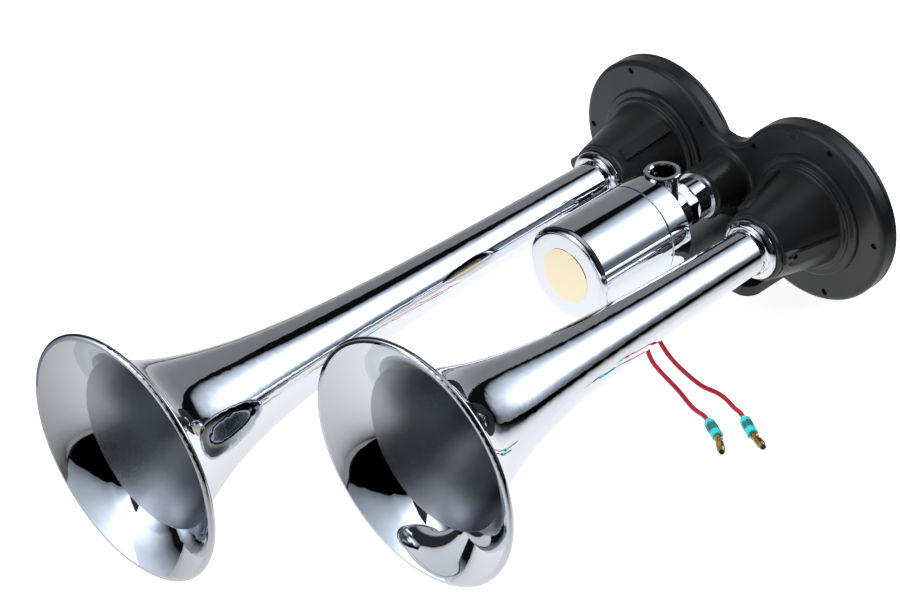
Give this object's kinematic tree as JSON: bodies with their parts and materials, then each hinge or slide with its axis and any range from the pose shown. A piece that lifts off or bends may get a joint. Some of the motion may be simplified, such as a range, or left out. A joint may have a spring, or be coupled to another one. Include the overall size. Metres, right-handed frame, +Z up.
{
  "type": "car air horn",
  "caption": "Twin-trumpet air horn: a long and a short flared trumpet on a shared diaphragm housing with a foot, fed by a solenoid air valve with an inlet port and two leads.",
  "frame": {"origin": "middle of the two foot bolt holes, on the underside of the mounting foot", "axes": "+Y from the mouths of the trumpets to the diaphragm housing, along the trumpets; +Z up out of the foot; +X towards the short trumpet"},
  "size_m": [0.2118, 0.3409, 0.115],
  "materials": {
    "trumpet_chrome": "polished chrome plate, satin inside the bells",
    "can_chrome": "polished chrome plate",
    "valve_chrome": "polished chrome plate",
    "housing_black": "semi-gloss black enamel on die-cast metal",
    "cover_black": "semi-gloss black enamel",
    "screw_steel": "dark zinc plate",
    "diaphragm_steel": "plain rolled spring steel",
    "seal_rubber": "matt",
    "washer_aluminium": "plain",
    "brass": "plain turned brass",
    "core_steel": "turned",
    "spring_steel": "plain wire",
    "bobbin_plastic": "natural nylon",
    "coil_copper": "enamelled copper wire",
    "label_paper": "matt paper, left blank",
    "lead_red": "satin PVC insulation",
    "sleeve_teal": "soft clear-tinted PVC"
  },
  "bodies": {
    "horn": {"long_trumpet": "trumpet_chrome", "short_trumpet": "trumpet_chrome", "horn_housing": "housing_black", "left_gasket": "seal_rubber", "right_gasket": "seal_rubber", "left_diaphragm": "diaphragm_steel", "right_diaphragm": "diaphragm_steel", "left_back_cover": "cover_black", "right_back_cover": "cover_black", "left_cover_screws": "screw_steel", "right_cover_screws": "screw_steel", "left_collar_screw": "screw_steel", "right_collar_screw": "screw_steel", "nipple_washer": "washer_aluminium", "outlet_nipple": "valve_chrome", "valve_body": "valve_chrome", "inlet_fitting": "valve_chrome", "solenoid_can": "can_chrome", "can_seal": "seal_rubber", "cable_grommet": "seal_rubber", "valve_seat": "brass", "guide_tube": "brass", "fixed_core": "core_steel", "plunger_spring": "spring_steel", "coil_bobbin": "bobbin_plastic", "coil_winding": "coil_copper", "solenoid_label": "label_paper", "front_lead": "lead_red", "rear_lead": "lead_red", "front_sleeve": "sleeve_teal", "rear_sleeve": "sleeve_teal", "front_bullet": "brass", "rear_bullet": "brass"},
    "valve_plunger": {"plunger": "core_steel", "plunger_seal": "seal_rubber"}
  },
  "joints": [
    {"name": "plunger_slide", "type": "slide", "parent": "horn", "child": "valve_plunger", "axis": [0, -1, 0], "range_m": [0, 0.0015], "stiffness_N_per_m": 400, "springref_m": -0.004, "deforming": ["plunger_spring"]}
  ]
}
